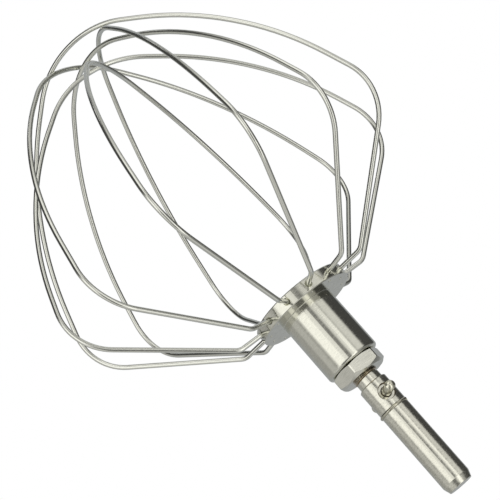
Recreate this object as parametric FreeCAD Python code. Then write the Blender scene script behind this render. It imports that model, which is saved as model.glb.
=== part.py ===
import FreeCAD, Part
import math
import os
from collections import namedtuple

# Balloon whisk attachment for a planetary mixer, in millimetres. +Z runs up the spindle, away from the
# balloon. The origin is on the axis at the mouth of the mixer's socket, just above the retaining ring.

# Wires: six loops of round wire, each with both ends in the rim of the hub
wire_diameter = 2.0
wire_spacing = 0.3
wire_seat = 8.0
wire_hole_gap = 0.05
first_loop_azimuth = 10.45

# Shape that all the loops share, in their own plane. Drops are measured down from the wire holes.
stub_reach = 10.4
stub_bend_radius = 4.8
shoulder_radius = 82.2
shoulder_drop = 40.0
shoulder_bend_radius = 23.0
waist_radius = 68.3
waist_drop = 83.5
lower_radius = 45.2
lower_drop = 117.4
tip_flat_radius = 13.5
reference_depth = 143.0
shallowest_depth = 131.9

# How each hand-bent loop differs. layer counts wire spacings below the shallowest loop at the tip. lean and
# sway move the tip along the loop's plane and square to it, in mm. wide_a and wide_b scale the two halves,
# twist_a and twist_b turn them about the axis in degrees, and tilt raises shoulder a and lowers shoulder b.
Loop = namedtuple("Loop", "layer lean sway wide_a wide_b twist_a twist_b tilt")
loops = [
    Loop(layer=0.0, lean=0.9, sway=-3.4, wide_a=1.0, wide_b=1.0, twist_a=2.1, twist_b=1.8, tilt=1.8),
    Loop(layer=4.75, lean=-2.2, sway=-9.3, wide_a=0.99, wide_b=1.055, twist_a=1.5, twist_b=-0.3, tilt=-3.1),
    Loop(layer=3.05, lean=-4.9, sway=-0.8, wide_a=0.985, wide_b=1.015, twist_a=1.1, twist_b=1.1, tilt=-0.3),
    Loop(layer=5.95, lean=-1.1, sway=5.7, wide_a=1.005, wide_b=1.0, twist_a=2.2, twist_b=-0.6, tilt=0.4),
    Loop(layer=1.1, lean=-2.2, sway=-3.6, wide_a=0.975, wide_b=0.99, twist_a=0.1, twist_b=-0.7, tilt=0.1),
    Loop(layer=4.35, lean=-5.4, sway=-8.1, wide_a=0.995, wide_b=0.995, twist_a=1.0, twist_b=-0.5, tilt=-3.7),
]
longest_arc_share = 0.49

# Hub: a disc that takes the wires and a barrel that takes the spindle, turned from one bar
hub_radius = 21.0
disc_above_wires = 2.8
disc_below_wires = 2.7
disc_top_bevel = 0.3
disc_bottom_bevel = 0.4
hole_countersink = 0.25
stake_inset = 3.0
stake_radius = 0.75
stake_depth = 0.6
barrel_radius = 11.6
barrel_length = 28.25
barrel_edge_round = 1.3
barrel_foot_round = 0.2
bore_floor = 1.0
bore_run_out = 1.0

# Thread, drawn plain at its root
thread_radius = 5.4
thread_depth = 0.7
thread_gap = 0.05
thread_end_bevel = 0.6

# Lock nut
nut_across_flats = 19.4
nut_corner_land = 0.6
nut_thickness = 6.2
nut_corner_azimuth = 10.2
nut_lower_bevel_deg = 25.0
nut_upper_bevel_deg = 40.0
nut_face_share = 0.948

# Spindle, in order down from the origin
shank_radius = 6.1
shank_length = 34.1
shank_taper_length = 2.9
shank_end_radius = 5.1
shank_end_round = 0.3
ring_below_origin = 1.0
pin_below_origin = 7.25
shoulder_below_origin = 13.7
shoulder_bevel = 0.4
neck_radius = 5.05
neck_length = 2.6
thread_shown = 1.7

# Retaining ring of round wire, open on one side
ring_wire_diameter = 1.2
ring_groove_depth = 0.65
ring_gap = 0.05
ring_opening_azimuth = -90.0
ring_opening_deg = 36.0

# Drive pin, pressed through the shank
pin_radius = 2.0
pin_length = 25.4
pin_dome = 1.0
pin_azimuth = -25.0
pin_hole_gap = 0.02
pin_countersink = 0.25
spot_face_radius = 3.5
spot_face_depth = 1.2
spot_groove_width = 0.3
spot_groove_depth = 0.35

# Heights and radii that follow from these sizes
z_shoulder = -shoulder_below_origin
z_thread_top = z_shoulder - neck_length
z_nut_top = z_thread_top - thread_shown
z_barrel_top = z_nut_top - nut_thickness
z_disc_top = z_barrel_top - barrel_length
z_wires = z_disc_top - disc_above_wires
z_disc_bottom = z_wires - disc_below_wires
z_bore_bottom = z_disc_top + bore_floor
z_thread_bottom = z_bore_bottom + bore_run_out
thread_root = thread_radius - thread_depth
thread_bore = thread_root + thread_gap
wire_radius = wire_diameter / 2.0
layer_pitch = wire_diameter + wire_spacing
stub_start = hub_radius - wire_seat
stub_corner = hub_radius + stub_reach


def vector(x, y, z):
    return FreeCAD.Vector(x, y, z)


AXIS = vector(0, 0, 1)


def around(radius, azimuth_deg, z):
    """The point at this radius and azimuth about the whisk's axis."""
    angle = math.radians(azimuth_deg)
    return vector(radius * math.cos(angle), radius * math.sin(angle), z)


def turned(profile):
    """A solid turned about the axis from (radius, height) points, closed along the axis."""
    points = [vector(r, 0, z) for r, z in profile]
    face = Part.Face(Part.makePolygon(points + [points[0]]))
    return face.revolve(vector(0, 0, 0), AXIS, 360)


def route(corners, radii):
    """Straight runs through the corners, joined by tangent arcs. A radius of None is as large as fits."""
    edges = []
    here = corners[0]
    for before, corner, after, radius in zip(corners, corners[1:], corners[2:], radii[1:]):
        run_in = corner - before
        run_out = after - corner
        turn = run_in.getAngle(run_out)
        room = longest_arc_share * min(run_in.Length, run_out.Length)
        if radius is None:
            tangent = room
        else:
            tangent = min(radius * math.tan(turn / 2.0), room)
        run_in.normalize()
        run_out.normalize()
        start = corner - run_in * tangent
        end = corner + run_out * tangent
        inward = run_out - run_in
        inward.normalize()
        bend = tangent / math.tan(turn / 2.0)
        middle = corner + inward * (bend / math.cos(turn / 2.0) - bend)
        edges.append(Part.LineSegment(here, start).toShape())
        edges.append(Part.Arc(start, middle, end).toShape())
        here = end
    edges.append(Part.LineSegment(here, corners[-1]).toShape())
    return Part.Wire(edges)


def half_loop(loop, azimuth_deg, side):
    """Corners of one half of a loop, from its end in the hub down to the tip."""
    wide = loop.wide_a if side > 0 else loop.wide_b
    twist = loop.twist_a if side > 0 else loop.twist_b
    depth = shallowest_depth + loop.layer * layer_pitch
    stretch = (depth - shoulder_drop) / (reference_depth - shoulder_drop)
    upper_wide = wide
    lower_wide = 1.0 + (wide - 1.0) * 0.5
    bent = azimuth_deg + twist
    corners = [around(side * stub_start, azimuth_deg, 0), around(side * stub_corner, azimuth_deg, 0)]
    r = stub_corner + (shoulder_radius - stub_corner) * upper_wide
    corners.append(around(side * r, bent, loop.tilt * side - shoulder_drop))
    r = stub_corner + (waist_radius - stub_corner) * upper_wide
    corners.append(around(side * r, bent, -shoulder_drop - (waist_drop - shoulder_drop) * stretch))
    r = lower_radius * lower_wide
    corners.append(around(side * r, bent, -shoulder_drop - (lower_drop - shoulder_drop) * stretch))
    corners.append(around(side * tip_flat_radius * lower_wide, bent, -depth))
    return corners


def wire_loop(loop, azimuth_deg):
    """One loop of wire: two stubs in the hub, two shoulders and a rounded tip, leaning as it was bent."""
    corners = half_loop(loop, azimuth_deg, 1) + half_loop(loop, azimuth_deg, -1)[::-1]
    radii = [0, stub_bend_radius, shoulder_bend_radius, None, None, None]
    radii = radii + radii[::-1]
    mean_azimuth = azimuth_deg + (loop.twist_a + loop.twist_b) / 2.0
    shift = around(loop.lean, mean_azimuth, 0) + around(loop.sway, mean_azimuth + 90.0, 0)
    placed = [c + shift * (-c.z / reference_depth) + vector(0, 0, z_wires) for c in corners]
    spine = route(placed, radii)
    start_direction = placed[1] - placed[0]
    section = Part.Wire([Part.Circle(placed[0], start_direction, wire_radius).toShape()])
    return spine.makePipeShell([section], True, False)


def wire_holes():
    """Blind radial holes for the wires' ends, each with a small countersink at the rim."""
    cutters = []
    hole_radius = wire_radius + wire_hole_gap
    for k in range(2 * len(loops)):
        azimuth = first_loop_azimuth + k * 180.0 / len(loops)
        outward = around(1, azimuth, 0)
        inner_end = around(stub_start - wire_hole_gap, azimuth, z_wires)
        hole = Part.makeCylinder(hole_radius, wire_seat * 1.5, inner_end, outward)
        cone_start = around(hub_radius - 2.0 * hole_countersink, azimuth, z_wires)
        cone = Part.makeCone(
            hole_radius, hole_radius + 3.0 * hole_countersink, 3.0 * hole_countersink, cone_start, outward
        )
        cutters.append(hole.fuse(cone))
    return cutters


def stake_marks():
    """Punch marks on top of the disc, one over each wire hole, that grip the wire's end."""
    marks = []
    for k in range(2 * len(loops)):
        azimuth = first_loop_azimuth + k * 180.0 / len(loops)
        point = around(hub_radius - stake_inset, azimuth, z_disc_top - stake_depth)
        marks.append(Part.makeCone(0, stake_radius * 2.0, stake_depth * 2.0, point, AXIS))
    return marks


def hub():
    """Disc and barrel turned in one piece, with a blind bore for the spindle's threaded end."""
    disc_profile = [
        (0, z_disc_bottom),
        (hub_radius - disc_bottom_bevel, z_disc_bottom),
        (hub_radius, z_disc_bottom + disc_bottom_bevel),
        (hub_radius, z_disc_top - disc_top_bevel),
        (hub_radius - disc_top_bevel, z_disc_top),
        (barrel_radius, z_disc_top),
        (barrel_radius, z_barrel_top),
        (0, z_barrel_top),
    ]
    body = turned(disc_profile)
    body = body.makeFillet(barrel_edge_round, ring_edges(body, barrel_radius, z_barrel_top))
    body = body.makeFillet(barrel_foot_round, ring_edges(body, barrel_radius, z_disc_top))
    bore_profile = [
        (0, z_bore_bottom),
        (thread_bore, z_bore_bottom),
        (thread_bore, z_barrel_top - thread_depth),
        (thread_bore + 2.0 * thread_depth, z_barrel_top + thread_depth),
        (0, z_barrel_top + thread_depth),
    ]
    return body.cut([turned(bore_profile)] + wire_holes() + stake_marks())


def ring_edges(shape, radius, z):
    """The round edges of a turned shape at this radius and height."""
    found = []
    for edge in shape.Edges:
        curve = edge.Curve
        if isinstance(curve, Part.Circle) and abs(curve.Radius - radius) < 0.001:
            if abs(curve.Center.z - z) < 0.001:
                found.append(edge)
    return found


def lock_nut():
    """Hexagon nut with turned corners, bevelled on both faces and seated on the end of the barrel."""
    corner_radius = nut_across_flats / 2.0 / math.cos(math.radians(30))
    corners = [around(corner_radius, nut_corner_azimuth + 60 * k, z_barrel_top) for k in range(6)]
    prism = Part.Face(Part.makePolygon(corners + [corners[0]])).extrude(vector(0, 0, nut_thickness))
    face_radius = nut_across_flats / 2.0 * nut_face_share
    land_half = nut_corner_land / 2.0
    land_radius = math.hypot(corner_radius - land_half / math.tan(math.radians(60)), land_half)
    bevel_run = land_radius - face_radius
    lower_rise = bevel_run * math.tan(math.radians(nut_lower_bevel_deg))
    upper_rise = bevel_run * math.tan(math.radians(nut_upper_bevel_deg))
    bevel_profile = [
        (0, z_barrel_top),
        (face_radius, z_barrel_top),
        (land_radius, z_barrel_top + lower_rise),
        (land_radius, z_nut_top - upper_rise),
        (face_radius, z_nut_top),
        (0, z_nut_top),
    ]
    bore_profile = [
        (0, z_barrel_top - thread_depth),
        (thread_bore + 2.0 * thread_depth, z_barrel_top - thread_depth),
        (thread_bore, z_barrel_top + thread_depth),
        (thread_bore, z_nut_top - thread_depth),
        (thread_bore + 2.0 * thread_depth, z_nut_top + thread_depth),
        (0, z_nut_top + thread_depth),
    ]
    return prism.common(turned(bevel_profile)).cut(turned(bore_profile))


def spindle():
    """Threaded end, neck, shank with a ring groove and a cross hole, and a tapered free end."""
    z_ring = -ring_below_origin
    groove_half = ring_wire_diameter / 2.0 + ring_gap
    groove_radius = shank_radius - ring_groove_depth
    z_taper = shank_length
    z_end = z_taper + shank_taper_length
    profile = [
        (0, z_thread_bottom),
        (thread_root - thread_end_bevel, z_thread_bottom),
        (thread_root, z_thread_bottom + thread_end_bevel),
        (thread_root, z_thread_top),
        (neck_radius, z_thread_top),
        (neck_radius, z_shoulder),
        (shank_radius - shoulder_bevel, z_shoulder),
        (shank_radius, z_shoulder + shoulder_bevel),
        (shank_radius, z_ring - groove_half),
        (groove_radius, z_ring - groove_half),
        (groove_radius, z_ring + groove_half),
        (shank_radius, z_ring + groove_half),
        (shank_radius, z_taper),
        (shank_end_radius, z_end),
        (0, z_end),
    ]
    body = turned(profile)
    body = body.makeFillet(shank_end_round, ring_edges(body, shank_end_radius, z_end))
    return body.cut(pin_hole())


def pin_hole():
    """The cross hole for the drive pin. Both ends have a small countersink and a flat edged by a groove."""
    hole_radius = pin_radius + pin_hole_gap
    reach = shank_radius * 2.0
    face = shank_radius - spot_face_depth
    start = around(-reach, pin_azimuth, -pin_below_origin)
    cutter = Part.makeCylinder(hole_radius, 2.0 * reach, start, around(1, pin_azimuth, 0))
    for side in (1, -1):
        outward = around(side, pin_azimuth, 0)
        start = around(side * face, pin_azimuth, -pin_below_origin)
        spot = Part.makeCylinder(spot_face_radius, spot_face_depth * 2.0, start, outward)
        start = around(side * (face - spot_groove_depth), pin_azimuth, -pin_below_origin)
        groove = Part.makeCylinder(spot_face_radius, spot_face_depth, start, outward)
        land = Part.makeCylinder(spot_face_radius - spot_groove_width, spot_face_depth, start, outward)
        start = around(side * (face - pin_countersink), pin_azimuth, -pin_below_origin)
        cone = Part.makeCone(
            hole_radius, hole_radius + 2.0 * pin_countersink, 2.0 * pin_countersink, start, outward
        )
        cutter = cutter.fuse([spot, cone, groove.cut(land)])
    return cutter


def drive_pin():
    """Round cross pin with a shallow dome on each end."""
    half = pin_length / 2.0
    dome_radius = (pin_radius ** 2 + pin_dome ** 2) / (2.0 * pin_dome)
    half_angle = math.asin(pin_radius / dome_radius) / 2.0
    shoulder = half - pin_dome
    middle_r = dome_radius * math.sin(half_angle)
    middle_x = half - dome_radius * (1.0 - math.cos(half_angle))
    tips = [vector(-half, 0, 0), vector(half, 0, 0)]
    domes = [vector(-middle_x, 0, middle_r), vector(middle_x, 0, middle_r)]
    rims = [vector(-shoulder, 0, pin_radius), vector(shoulder, 0, pin_radius)]
    edges = [
        Part.LineSegment(tips[0], tips[1]).toShape(),
        Part.Arc(tips[1], domes[1], rims[1]).toShape(),
        Part.LineSegment(rims[1], rims[0]).toShape(),
        Part.Arc(rims[0], domes[0], tips[0]).toShape(),
    ]
    pin = Part.Face(Part.Wire(edges)).revolve(vector(0, 0, 0), vector(1, 0, 0), 360)
    pin.rotate(vector(0, 0, 0), AXIS, pin_azimuth)
    pin.translate(vector(0, 0, -pin_below_origin))
    return pin


def retaining_ring():
    """Open ring of round wire, sprung into the groove of the shank."""
    wire_r = ring_wire_diameter / 2.0
    centre_radius = shank_radius - ring_groove_depth + ring_gap / 2.0 + wire_r
    section = Part.Wire([Part.Circle(vector(centre_radius, 0, 0), vector(0, 1, 0), wire_r).toShape()])
    ring = Part.Face(section).revolve(vector(0, 0, 0), AXIS, 360.0 - ring_opening_deg)
    ring.rotate(vector(0, 0, 0), AXIS, ring_opening_azimuth + ring_opening_deg / 2.0)
    ring.translate(vector(0, 0, -ring_below_origin))
    return ring


def main():
    nodes = {}
    for k, loop in enumerate(loops):
        azimuth = first_loop_azimuth - k * 180.0 / len(loops)
        nodes["wire_loop_%d" % (k + 1)] = wire_loop(loop, azimuth)
    nodes["hub"] = hub()
    nodes["lock_nut"] = lock_nut()
    nodes["spindle"] = spindle()
    nodes["drive_pin"] = drive_pin()
    nodes["retaining_ring"] = retaining_ring()
    os.makedirs("parts", exist_ok=True)
    for name, shape in nodes.items():
        shape.exportStep("parts/%s.step" % name)
        print("%-16s volume %9.1f mm3, valid %s" % (name, shape.Volume, shape.isValid()))


main()
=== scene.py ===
import math
from collections import namedtuple

import bpy
from mathutils import Matrix, Vector

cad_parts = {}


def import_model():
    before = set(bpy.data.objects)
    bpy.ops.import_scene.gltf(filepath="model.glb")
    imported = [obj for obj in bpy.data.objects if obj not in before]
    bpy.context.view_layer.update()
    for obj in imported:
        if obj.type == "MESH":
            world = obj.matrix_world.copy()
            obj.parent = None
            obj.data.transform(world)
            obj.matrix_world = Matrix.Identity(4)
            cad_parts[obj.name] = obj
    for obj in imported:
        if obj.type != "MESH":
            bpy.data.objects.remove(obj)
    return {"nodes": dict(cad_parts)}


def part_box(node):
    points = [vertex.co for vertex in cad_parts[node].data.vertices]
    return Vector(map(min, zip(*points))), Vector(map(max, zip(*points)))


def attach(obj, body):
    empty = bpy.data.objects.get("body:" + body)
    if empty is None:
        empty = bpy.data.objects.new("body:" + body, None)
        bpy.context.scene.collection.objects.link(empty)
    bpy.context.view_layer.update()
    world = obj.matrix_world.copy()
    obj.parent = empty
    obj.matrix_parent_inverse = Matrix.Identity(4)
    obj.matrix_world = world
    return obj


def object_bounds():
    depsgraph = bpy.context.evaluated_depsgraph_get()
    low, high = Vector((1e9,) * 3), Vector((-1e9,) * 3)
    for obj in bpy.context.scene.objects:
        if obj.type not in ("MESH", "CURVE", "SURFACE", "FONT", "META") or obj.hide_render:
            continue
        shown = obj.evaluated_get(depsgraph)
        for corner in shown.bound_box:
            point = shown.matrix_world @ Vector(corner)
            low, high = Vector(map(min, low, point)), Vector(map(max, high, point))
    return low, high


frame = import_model()
cad_low, cad_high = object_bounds()

# Camera with the photograph's view of a 500 by 500 picture. Its place and clip are in metres, its lens and
# sensor in millimetres.
CAMERA_PLACE = Vector((0.6045, 0.0, 0.0877))
CAMERA_FORWARD = Vector((-1.0, 0.0022, -0.2872)).normalized()
CAMERA_ROLL_DEG = 41.31
CAMERA_LENS = 114.6
CAMERA_SENSOR = 36.0
CAMERA_CLIP = (0.01, 20.0)

# Studio. Azimuths are in degrees about +Z from +X, which points at the camera, and elevations are in degrees
# above the horizon. Right is the side of +Y, as the camera has it with +Z up. A level is a brightness beside
# a white of 1.
DEGREES_IN_RADIAN = math.degrees(1.0)
WHITE = (1.0, 1.0, 1.0, 1.0)

# Soft lamps, which add their level to the surround's own
Light = namedtuple("Light", "name azimuths elevations level")
LIGHT_CENTRE = Vector((0.0, 0.0, -0.05))
LIGHT_DISTANCE = 0.65
LIGHT_COLOUR = (1.0, 0.99, 0.955)
LIGHTS = [
    Light("key", (16, 48), (-26, 6), 0.25),
    Light("key_side", (40, 60), (6, 21), 0.1),
    Light("strip", (-39, -25), (-12, 28), 0.3),
    Light("strip_top", (-42, -16), (26, 60), 0.5),
    Light("sheet", (-54, -2), (-62, -28), 0.12),
]

# The surround is a grey tent. It opens to the white background where a zone's level is 1, and the other zones
# are cards of their own level. Each zone is centred on an azimuth and has soft edges. A later one covers the
# ones before it. ALL_ROUND is more than half a turn, so such a zone has no sides.
Zone = namedtuple("Zone", "name azimuth half_width elevations edge level")
ALL_ROUND = 200
SURROUND_LEVEL = 0.43
ZONES = [
    Zone("rear right", 125, 35, (-22, 30), 8, 0.40),
    Zone("right", 78, 14, (-22, 30), 6, 0.56),
    Zone("rear", 180, 32, (-12, 40), 8, 0.41),
    Zone("upper right", 65, 30, (24, 52), 8, 0.65),
    Zone("lower rear left", -116, 50, (-46, -22), 6, 0.5),
    Zone("lower left", -75, 20, (-64, -40), 6, 0.62),
    Zone("dark card on the left", -109, 37, (-26, 27), 6, 0.07),
    Zone("dark card above it", -112, 44, (30, 60), 7, 0.22),
    Zone("dark ground on the right", 87, 74, (-95, -29), 6, 0.06),
    Zone("pale front left", -60, 16, (-38, 2), 7, 0.8),
    Zone("opening below on the left", -28, 28, (-64, -26), 8, 1.0),
    Zone("dark bar across it", -45, 12, (-37, -20), 2, 0.15),
    Zone("tall opening on the left", -28, 12, (-14, 60), 4, 1.0),
    Zone("wide opening on the right", 27, 26, (-27, 7), 7, 1.0),
    Zone("opening beside it", 49, 11, (6, 21), 4, 1.0),
    Zone("gap below the camera", -8, 4, (-22, 6), 2, 0.24),
    Zone("dark card at the camera", 4, 18, (7, 31), 3, 0.16),
    Zone("dark card above the camera", 28, 16, (34, 51), 4, 0.02),
    Zone("opening at the top", 10, 24, (53, 70), 5, 0.95),
    Zone("ceiling", 0, ALL_ROUND, (72, 95), 5, 0.6),
    Zone("ground", 0, ALL_ROUND, (-95, -74), 4, 0.06),
]

# The surround is cool behind the whisk and warm in front, by the azimuth's distance from straight behind
REAR_AZIMUTH = 180.0
COOL_WITHIN = 30.0
WARM_BEYOND = 70.0
SURROUND_WARM = (1.0, 0.995, 0.97, 1.0)
SURROUND_COOL = (0.94, 0.97, 1.0, 1.0)

FLOOR_DROP = 1.0
FLOOR_RADIUS = 0.12
FLOOR_SIDES = 96
FLOOR_COLOUR = (0.8, 0.8, 0.8, 1.0)

# Grain of the steel: the range that its noise keeps within for the most part, and the depth of its relief
GRAIN_RANGE = (0.3, 0.7)
GRAIN_DETAIL = 3.0
GRAIN_DEPTH = 0.0001

# Lines of painted shade round the drive pin, in its groove and at its hole's edge, by their distance from its
# axis, which lies at this azimuth
PIN_AZIMUTH = -25.0
PIN_SEAT_SHADE_LINES = [(0.0019, 0.0023), (0.0032, 0.0035)]
PIN_SEAT_EDGE = 0.0001
# The colour of the painted shade in the groove and at the hole's edge
PIN_SEAT_SHADE = (0.15, 0.12, 0.08, 1.0)

# Thread that shows between the nut and the neck. Its ridge has its foot under the thread's root, and sinks
# into the root at both ends.
THREAD_PITCH = 0.00125
THREAD_RADIUS = 0.0054
THREAD_ROOT = 0.0047
THREAD_ABOVE_NUT = 0.0017
THREAD_INSIDE_NUT = 0.0006
THREAD_FOOT_DEPTH = 0.0002
THREAD_END_DEPTH = 0.0001
THREAD_CREST_SHARE = 0.15
THREAD_STEPS_A_TURN = 64
THREAD_FADE_STEPS = 16
THREAD_CORNERS = 4


def node(tree, kind, **settings):
    """A shader node with its settings. Names that begin with in_ set an input by its place."""
    made = tree.nodes.new(kind)
    for name, value in settings.items():
        if name.startswith("in_"):
            made.inputs[int(name[3:])].default_value = value
        else:
            setattr(made, name, value)
    return made


def link(tree, source, target):
    """Leads one socket into another."""
    tree.links.new(source, target)


def math_node(tree, operation, a, b=None):
    """The result of one sum. a and b are numbers or sockets."""
    made = node(tree, "ShaderNodeMath", operation=operation)
    for place, value in enumerate((a, b)):
        if value is None:
            continue
        if isinstance(value, (int, float)):
            made.inputs[place].default_value = value
        else:
            link(tree, value, made.inputs[place])
    return made.outputs[0]


def smooth_step(tree, value, start, end):
    """Goes smoothly from 0 to 1 as value goes from start to end."""
    made = node(tree, "ShaderNodeMapRange", interpolation_type="SMOOTHSTEP", in_1=start, in_2=end)
    link(tree, value, made.inputs[0])
    return made.outputs[0]


def window(tree, value, low, high, edge):
    """1 between low and high, falling smoothly to 0 over the edge on both sides."""
    rise = smooth_step(tree, value, low - edge, low + edge)
    fall = smooth_step(tree, value, high + edge, high - edge)
    return math_node(tree, "MULTIPLY", rise, fall)


def turned_by(tree, azimuth, centre):
    """How far an azimuth lies from the centre, from 0 to 180 degrees either way."""
    made = node(tree, "ShaderNodeMath", operation="WRAP", in_1=180.0, in_2=-180.0)
    link(tree, math_node(tree, "SUBTRACT", azimuth, centre), made.inputs[0])
    return math_node(tree, "ABSOLUTE", made.outputs[0])


def seen(tree, *kinds):
    """1 for rays of these kinds, which see the plain white background, and 0 for the others."""
    rays = node(tree, "ShaderNodeLightPath")
    found = rays.outputs[kinds[0]]
    for kind in kinds[1:]:
        found = math_node(tree, "MAXIMUM", found, rays.outputs[kind])
    return found


def mixed(tree, share, first, second, output_kind):
    """Mixes two shaders by a share into the tree's output."""
    mix = node(tree, "ShaderNodeMixShader")
    link(tree, share, mix.inputs[0])
    link(tree, first.outputs[0], mix.inputs[1])
    link(tree, second.outputs[0], mix.inputs[2])
    output = node(tree, output_kind)
    link(tree, mix.outputs[0], output.inputs[0])


def surround_level(tree, azimuth, elevation):
    """The brightness of the surround in one direction."""
    level = SURROUND_LEVEL
    for zone in ZONES:
        away = turned_by(tree, azimuth, zone.azimuth)
        across = smooth_step(tree, away, zone.half_width + zone.edge, zone.half_width - zone.edge)
        share = math_node(tree, "MULTIPLY", across, window(tree, elevation, *zone.elevations, zone.edge))
        change = math_node(tree, "MULTIPLY", share, math_node(tree, "SUBTRACT", zone.level, level))
        level = math_node(tree, "ADD", level, change)
        level.node.label = zone.name
    return level


def world():
    """White to camera and transmission rays, and a grey studio with openings and cards to the others."""
    made = bpy.data.worlds.new("studio")
    bpy.context.scene.world = made
    made.use_nodes = True
    tree = made.node_tree
    tree.nodes.clear()
    place = node(tree, "ShaderNodeTexCoord")
    parts = node(tree, "ShaderNodeSeparateXYZ")
    link(tree, place.outputs["Generated"], parts.inputs[0])
    x, y, z = parts.outputs
    azimuth = math_node(tree, "MULTIPLY", math_node(tree, "ARCTAN2", y, x), DEGREES_IN_RADIAN)
    elevation = math_node(tree, "MULTIPLY", math_node(tree, "ARCSINE", z), DEGREES_IN_RADIAN)
    tint = node(tree, "ShaderNodeMix", data_type="RGBA")
    tint.inputs["A"].default_value = SURROUND_WARM
    tint.inputs["B"].default_value = SURROUND_COOL
    from_rear = turned_by(tree, azimuth, REAR_AZIMUTH)
    link(tree, smooth_step(tree, from_rear, WARM_BEYOND, COOL_WITHIN), tint.inputs["Factor"])
    studio = node(tree, "ShaderNodeBackground")
    link(tree, tint.outputs["Result"], studio.inputs[0])
    link(tree, surround_level(tree, azimuth, elevation), studio.inputs[1])
    white = node(tree, "ShaderNodeBackground", in_0=WHITE, in_1=1.0)
    mixed(tree, seen(tree, "Is Camera Ray", "Is Transmission Ray"), studio, white, "ShaderNodeOutputWorld")


def soft_light(light):
    """A rectangular light that fills its range of azimuth and elevation as the hub's disc sees it.

    Its energy over pi and its area is its brightness.
    """
    azimuth = math.radians(sum(light.azimuths) / 2.0)
    elevation = math.radians(sum(light.elevations) / 2.0)
    half_wide = math.radians(light.azimuths[1] - light.azimuths[0]) / 2.0
    half_tall = math.radians(light.elevations[1] - light.elevations[0]) / 2.0
    away = Vector((
        math.cos(elevation) * math.cos(azimuth),
        math.cos(elevation) * math.sin(azimuth),
        math.sin(elevation),
    ))
    data = bpy.data.lights.new(light.name, "AREA")
    data.shape = "RECTANGLE"
    data.size = 2.0 * LIGHT_DISTANCE * math.tan(half_wide)
    data.size_y = 2.0 * LIGHT_DISTANCE * math.tan(half_tall)
    data.energy = light.level * math.pi * data.size * data.size_y
    data.color = LIGHT_COLOUR
    made = bpy.data.objects.new(light.name, data)
    made.location = LIGHT_CENTRE + away * LIGHT_DISTANCE
    made.rotation_mode = "QUATERNION"
    made.rotation_quaternion = away.to_track_quat("Z", "Y")
    made.visible_camera = False
    bpy.context.scene.collection.objects.link(made)


def floor():
    """A pale round floor below the balloon, white to camera, glossy and transmission rays."""
    bpy.ops.mesh.primitive_circle_add(
        vertices=FLOOR_SIDES, radius=FLOOR_RADIUS, fill_type="NGON", location=(0, 0, cad_low.z - FLOOR_DROP)
    )
    made = bpy.context.object
    made.name = "floor"
    material = bpy.data.materials.new("pale_floor")
    material.use_nodes = True
    tree = material.node_tree
    tree.nodes.clear()
    pale = node(tree, "ShaderNodeBsdfDiffuse", in_0=FLOOR_COLOUR)
    white = node(tree, "ShaderNodeEmission", in_0=WHITE, in_1=1.0)
    share = seen(tree, "Is Camera Ray", "Is Glossy Ray", "Is Transmission Ray")
    mixed(tree, share, pale, white, "ShaderNodeOutputMaterial")
    made.data.materials.append(material)


def camera():
    """The photograph's camera, rolled so that the spindle points to the lower right."""
    side = Vector((0.0, -1.0, 0.0))
    level_left = (side - CAMERA_FORWARD * side.dot(CAMERA_FORWARD)).normalized()
    level_up = CAMERA_FORWARD.cross(level_left)
    roll = math.radians(CAMERA_ROLL_DEG)
    right = level_left * math.cos(roll) + level_up * math.sin(roll)
    up = level_left * math.sin(roll) - level_up * math.cos(roll)
    turn = Matrix((right, up, -CAMERA_FORWARD)).transposed()
    data = bpy.data.cameras.new("photo_camera")
    data.sensor_width = CAMERA_SENSOR
    data.lens = CAMERA_LENS
    data.clip_start, data.clip_end = CAMERA_CLIP
    made = bpy.data.objects.new("photo_camera", data)
    made.matrix_world = Matrix.Translation(CAMERA_PLACE) @ turn.to_4x4()
    bpy.context.scene.collection.objects.link(made)
    bpy.context.scene.camera = made


def varied(tree, grain, middle, spread):
    """A number that goes from spread below the middle to spread above it with the grain."""
    made = node(tree, "ShaderNodeMapRange", in_1=GRAIN_RANGE[0], in_2=GRAIN_RANGE[1])
    made.inputs["To Min"].default_value = middle - spread
    made.inputs["To Max"].default_value = middle + spread
    link(tree, grain, made.inputs[0])
    return made.outputs[0]


def steel(name, colour, roughness, spread, grains, relief, mottle=0.0):
    """Stainless steel that varies with a fine grain, given as grains in a metre along X, Y and Z.

    Its roughness varies by the spread, its surface by the relief and its tone by the mottle.
    """
    material = bpy.data.materials.new(name)
    material.use_nodes = True
    tree = material.node_tree
    shader = tree.nodes["Principled BSDF"]
    shader.inputs["Base Color"].default_value = (*colour, 1.0)
    shader.inputs["Metallic"].default_value = 1.0
    place = node(tree, "ShaderNodeTexCoord")
    stretch = node(tree, "ShaderNodeMapping")
    stretch.inputs["Scale"].default_value = grains
    link(tree, place.outputs["Object"], stretch.inputs[0])
    noise = node(tree, "ShaderNodeTexNoise")
    noise.inputs["Scale"].default_value = 1.0
    noise.inputs["Detail"].default_value = GRAIN_DETAIL
    link(tree, stretch.outputs[0], noise.inputs["Vector"])
    grain = noise.outputs[0]
    link(tree, varied(tree, grain, roughness, spread), shader.inputs["Roughness"])
    bump = node(tree, "ShaderNodeBump")
    bump.inputs["Strength"].default_value = relief
    bump.inputs["Distance"].default_value = GRAIN_DEPTH
    link(tree, grain, bump.inputs["Height"])
    link(tree, bump.outputs[0], shader.inputs["Normal"])
    if mottle:
        toned = node(tree, "ShaderNodeVectorMath", operation="SCALE")
        toned.inputs[0].default_value = colour
        link(tree, varied(tree, grain, 1.0, mottle), toned.inputs["Scale"])
        link(tree, toned.outputs[0], shader.inputs["Base Color"])
    return material


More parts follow.
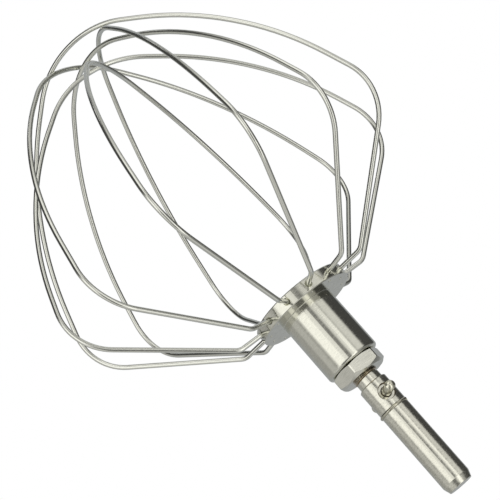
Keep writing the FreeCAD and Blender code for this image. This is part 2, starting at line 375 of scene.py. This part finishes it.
def paint_pin_seat_shade(material):
    """Paints shade into a steel's tone: darkens it in the groove round the drive pin and at its hole's edge,
    where shade falls.
    """
    tree = material.node_tree
    shader = tree.nodes["Principled BSDF"]
    unshaded = shader.inputs["Base Color"].links[0].from_socket
    angle = math.radians(PIN_AZIMUTH)
    low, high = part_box("drive_pin")
    place = node(tree, "ShaderNodeTexCoord")
    from_pin = node(tree, "ShaderNodeVectorMath", operation="SUBTRACT")
    from_pin.inputs[1].default_value = (low + high) / 2.0
    link(tree, place.outputs["Object"], from_pin.inputs[0])
    off_axis = node(tree, "ShaderNodeVectorMath", operation="CROSS_PRODUCT")
    off_axis.inputs[1].default_value = (math.cos(angle), math.sin(angle), 0.0)
    link(tree, from_pin.outputs[0], off_axis.inputs[0])
    away = node(tree, "ShaderNodeVectorMath", operation="LENGTH")
    link(tree, off_axis.outputs[0], away.inputs[0])
    radius = away.outputs["Value"]
    share = 0.0
    for low_radius, high_radius in PIN_SEAT_SHADE_LINES:
        line = window(tree, radius, low_radius, high_radius, PIN_SEAT_EDGE)
        share = math_node(tree, "MAXIMUM", share, line)
    # The steel's own tone gives way to the painted shade's colour on these lines
    colour = node(tree, "ShaderNodeMix", data_type="RGBA")
    link(tree, unshaded, colour.inputs["A"])
    colour.inputs["B"].default_value = PIN_SEAT_SHADE
    link(tree, share, colour.inputs["Factor"])
    link(tree, colour.outputs["Result"], shader.inputs["Base Color"])


def paint(name, material):
    """Puts a material on a CAD node."""
    slots = frame["nodes"][name].data.materials
    slots.clear()
    slots.append(material)


def thread_ridge():
    """The visible turns of the spindle's thread, as one helical ridge from inside the nut to the neck."""
    nut_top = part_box("lock_nut")[1].z
    top = nut_top + THREAD_ABOVE_NUT
    bottom = nut_top - THREAD_INSIDE_NUT
    turns = (top - bottom) / THREAD_PITCH
    steps = int(THREAD_STEPS_A_TURN * turns)
    half_foot = THREAD_PITCH / 2.0
    half_crest = half_foot * THREAD_CREST_SHARE
    foot_radius = THREAD_ROOT - THREAD_FOOT_DEPTH
    end_radius = THREAD_ROOT - THREAD_END_DEPTH
    vertices, faces = [], []
    for i in range(steps + 1):
        angle = 2.0 * math.pi * turns * i / steps
        z = bottom + (top - bottom) * i / steps
        fade = min(1.0, i / THREAD_FADE_STEPS, (steps - i) / THREAD_FADE_STEPS)
        crest_radius = end_radius + (THREAD_RADIUS - end_radius) * fade
        for radius, rise in (
            (foot_radius, -half_foot),
            (crest_radius, -half_crest),
            (crest_radius, half_crest),
            (foot_radius, half_foot),
        ):
            vertices.append((radius * math.cos(angle), radius * math.sin(angle), z + rise))
        if i:
            before, here = THREAD_CORNERS * (i - 1), THREAD_CORNERS * i
            for corner in range(THREAD_CORNERS):
                following = (corner + 1) % THREAD_CORNERS
                faces.append((before + corner, before + following, here + following, here + corner))
    faces.append(tuple(reversed(range(THREAD_CORNERS))))
    faces.append(tuple(range(THREAD_CORNERS * steps, THREAD_CORNERS * (steps + 1))))
    mesh = bpy.data.meshes.new("spindle_thread")
    mesh.from_pydata(vertices, [], faces)
    made = bpy.data.objects.new("spindle_thread", mesh)
    bpy.context.scene.collection.objects.link(made)
    return made


wire_steel = steel("polished_wire", (0.80, 0.805, 0.745), 0.17, 0.03, grains=(900, 900, 900), relief=0.0)
hub_steel = steel(
    "turned_steel", (0.725, 0.72, 0.64), 0.13, 0.05, grains=(600, 600, 2600), relief=0.1, mottle=0.08
)
nut_steel = steel(
    "milled_steel", (0.74, 0.735, 0.66), 0.2, 0.04, grains=(300, 300, 3000), relief=0.1, mottle=0.1
)
spindle_steel = steel(
    "ground_steel", (0.73, 0.72, 0.635), 0.19, 0.07, grains=(1000, 1000, 2400), relief=0.25, mottle=0.17
)
pin_steel = steel("pin_steel", (0.80, 0.785, 0.66), 0.22, 0.03, grains=(2500, 2500, 2500), relief=0.0)
ring_steel = steel("spring_wire", (0.58, 0.56, 0.46), 0.2, 0.04, grains=(1500, 1500, 1500), relief=0.0)
thread_steel = steel("oiled_thread", (0.50, 0.43, 0.33), 0.3, 0.05, grains=(1500, 1500, 1500), relief=0.0)
# Painted shade in the groove round the drive pin and at its hole's edge
paint_pin_seat_shade(spindle_steel)

for name in frame["nodes"]:
    if name.startswith("wire_loop"):
        paint(name, wire_steel)
paint("hub", hub_steel)
paint("lock_nut", nut_steel)
paint("spindle", spindle_steel)
paint("drive_pin", pin_steel)
paint("retaining_ring", ring_steel)

thread = thread_ridge()
thread.data.materials.append(thread_steel)
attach(thread, "root")

floor()
world()
for light in LIGHTS:
    soft_light(light)
camera()
bpy.context.scene.view_settings.view_transform = "Standard"
